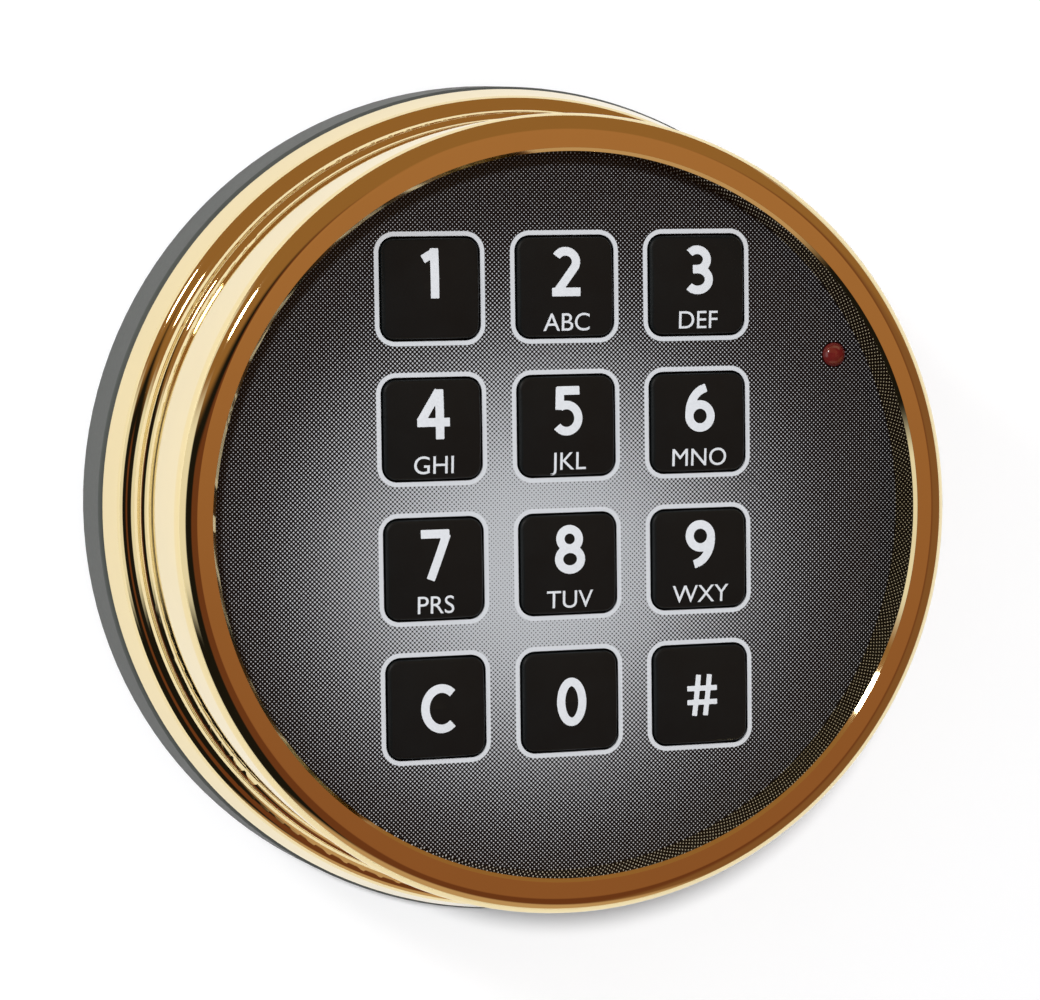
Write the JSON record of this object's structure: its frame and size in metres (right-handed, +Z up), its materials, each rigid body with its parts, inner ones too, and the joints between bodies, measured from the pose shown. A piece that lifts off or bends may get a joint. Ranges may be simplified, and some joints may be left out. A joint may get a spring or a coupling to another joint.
{
  "type": "electronic safe lock keypad",
  "caption": "Round electronic safe lock entry unit: a gold-plated housing with a recessed keypad that locks by a quarter-turn fitting onto a grey base on the door.",
  "frame": {"origin": "centre of the base's back face, where it meets the door", "axes": "+Y into the door, +Z up the door, +X to the right as the user sees it"},
  "size_m": [0.097, 0.0349, 0.097],
  "materials": {
    "base_grey": "satin grey paint",
    "seal_rubber": "matt black rubber",
    "gold_plate": "polished gold-coloured plating",
    "printed_film": "film with a grey dot print on black",
    "fascia_black": "moulded black plastic",
    "key_black": "semi-gloss black with pale print",
    "dome_steel": "spring steel",
    "light_red": "dark red lens",
    "board_green": "green solder mask",
    "tray_black": "moulded black plastic",
    "spring_steel": "bright spring steel",
    "battery_jacket": "plain dark jacket",
    "connector_black": "moulded black plastic",
    "contact_brass": "bright",
    "screw_steel": "zinc-plated",
    "chip_black": "moulded black package",
    "buzzer_black": "moulded black plastic",
    "capacitor_can": "sleeved can",
    "crystal_can": "drawn can",
    "socket_white": "natural white plastic"
  },
  "bodies": {
    "base": {"mounting_base": "base_grey"},
    "seal": {"seal_ring": "seal_rubber"},
    "head": {"bezel_housing": "gold_plate", "overlay_film": "printed_film", "fascia_panel": "fascia_black", "status_light": "light_red", "circuit_board": "board_green", "battery_tray": "tray_black", "retaining_ring": "spring_steel", "battery": "battery_jacket", "battery_connector": "connector_black", "battery_pins": "contact_brass", "battery_clip": "spring_steel", "clip_screws": "screw_steel", "board_screws": "screw_steel", "controller_chip": "chip_black", "buzzer": "buzzer_black", "capacitor": "capacitor_can", "crystal": "crystal_can", "cable_socket": "socket_white", "snap_dome_1": "dome_steel", "snap_dome_2": "dome_steel", "snap_dome_3": "dome_steel", "snap_dome_4": "dome_steel", "snap_dome_5": "dome_steel", "snap_dome_6": "dome_steel", "snap_dome_7": "dome_steel", "snap_dome_8": "dome_steel", "snap_dome_9": "dome_steel", "snap_dome_c": "dome_steel", "snap_dome_0": "dome_steel", "snap_dome_hash": "dome_steel"},
    "key_1": {"key_1": "key_black"},
    "key_2": {"key_2": "key_black"},
    "key_3": {"key_3": "key_black"},
    "key_4": {"key_4": "key_black"},
    "key_5": {"key_5": "key_black"},
    "key_6": {"key_6": "key_black"},
    "key_7": {"key_7": "key_black"},
    "key_8": {"key_8": "key_black"},
    "key_9": {"key_9": "key_black"},
    "key_c": {"key_c": "key_black"},
    "key_0": {"key_0": "key_black"},
    "key_hash": {"key_hash": "key_black"}
  },
  "joints": [
    {"name": "head_pull", "type": "slide", "parent": "base", "child": "seal", "axis": [0, -1, 0], "range_m": [0, 0.045]},
    {"name": "head_twist", "type": "hinge", "parent": "seal", "child": "head", "pos_m": [0, 0, 0], "axis": [0, -1, 0], "range_deg": [0, 18]},
    {"name": "press_1", "type": "slide", "parent": "head", "child": "key_1", "axis": [0, 1, 0], "range_m": [0, 0.0005], "stiffness_N_per_m": 600, "deforming": ["snap_dome_1"]},
    {"name": "press_2", "type": "slide", "parent": "head", "child": "key_2", "axis": [0, 1, 0], "range_m": [0, 0.0005], "stiffness_N_per_m": 600, "deforming": ["snap_dome_2"]},
    {"name": "press_3", "type": "slide", "parent": "head", "child": "key_3", "axis": [0, 1, 0], "range_m": [0, 0.0005], "stiffness_N_per_m": 600, "deforming": ["snap_dome_3"]},
    {"name": "press_4", "type": "slide", "parent": "head", "child": "key_4", "axis": [0, 1, 0], "range_m": [0, 0.0005], "stiffness_N_per_m": 600, "deforming": ["snap_dome_4"]},
    {"name": "press_5", "type": "slide", "parent": "head", "child": "key_5", "axis": [0, 1, 0], "range_m": [0, 0.0005], "stiffness_N_per_m": 600, "deforming": ["snap_dome_5"]},
    {"name": "press_6", "type": "slide", "parent": "head", "child": "key_6", "axis": [0, 1, 0], "range_m": [0, 0.0005], "stiffness_N_per_m": 600, "deforming": ["snap_dome_6"]},
    {"name": "press_7", "type": "slide", "parent": "head", "child": "key_7", "axis": [0, 1, 0], "range_m": [0, 0.0005], "stiffness_N_per_m": 600, "deforming": ["snap_dome_7"]},
    {"name": "press_8", "type": "slide", "parent": "head", "child": "key_8", "axis": [0, 1, 0], "range_m": [0, 0.0005], "stiffness_N_per_m": 600, "deforming": ["snap_dome_8"]},
    {"name": "press_9", "type": "slide", "parent": "head", "child": "key_9", "axis": [0, 1, 0], "range_m": [0, 0.0005], "stiffness_N_per_m": 600, "deforming": ["snap_dome_9"]},
    {"name": "press_c", "type": "slide", "parent": "head", "child": "key_c", "axis": [0, 1, 0], "range_m": [0, 0.0005], "stiffness_N_per_m": 600, "deforming": ["snap_dome_c"]},
    {"name": "press_0", "type": "slide", "parent": "head", "child": "key_0", "axis": [0, 1, 0], "range_m": [0, 0.0005], "stiffness_N_per_m": 600, "deforming": ["snap_dome_0"]},
    {"name": "press_hash", "type": "slide", "parent": "head", "child": "key_hash", "axis": [0, 1, 0], "range_m": [0, 0.0005], "stiffness_N_per_m": 600, "deforming": ["snap_dome_hash"]}
  ]
}
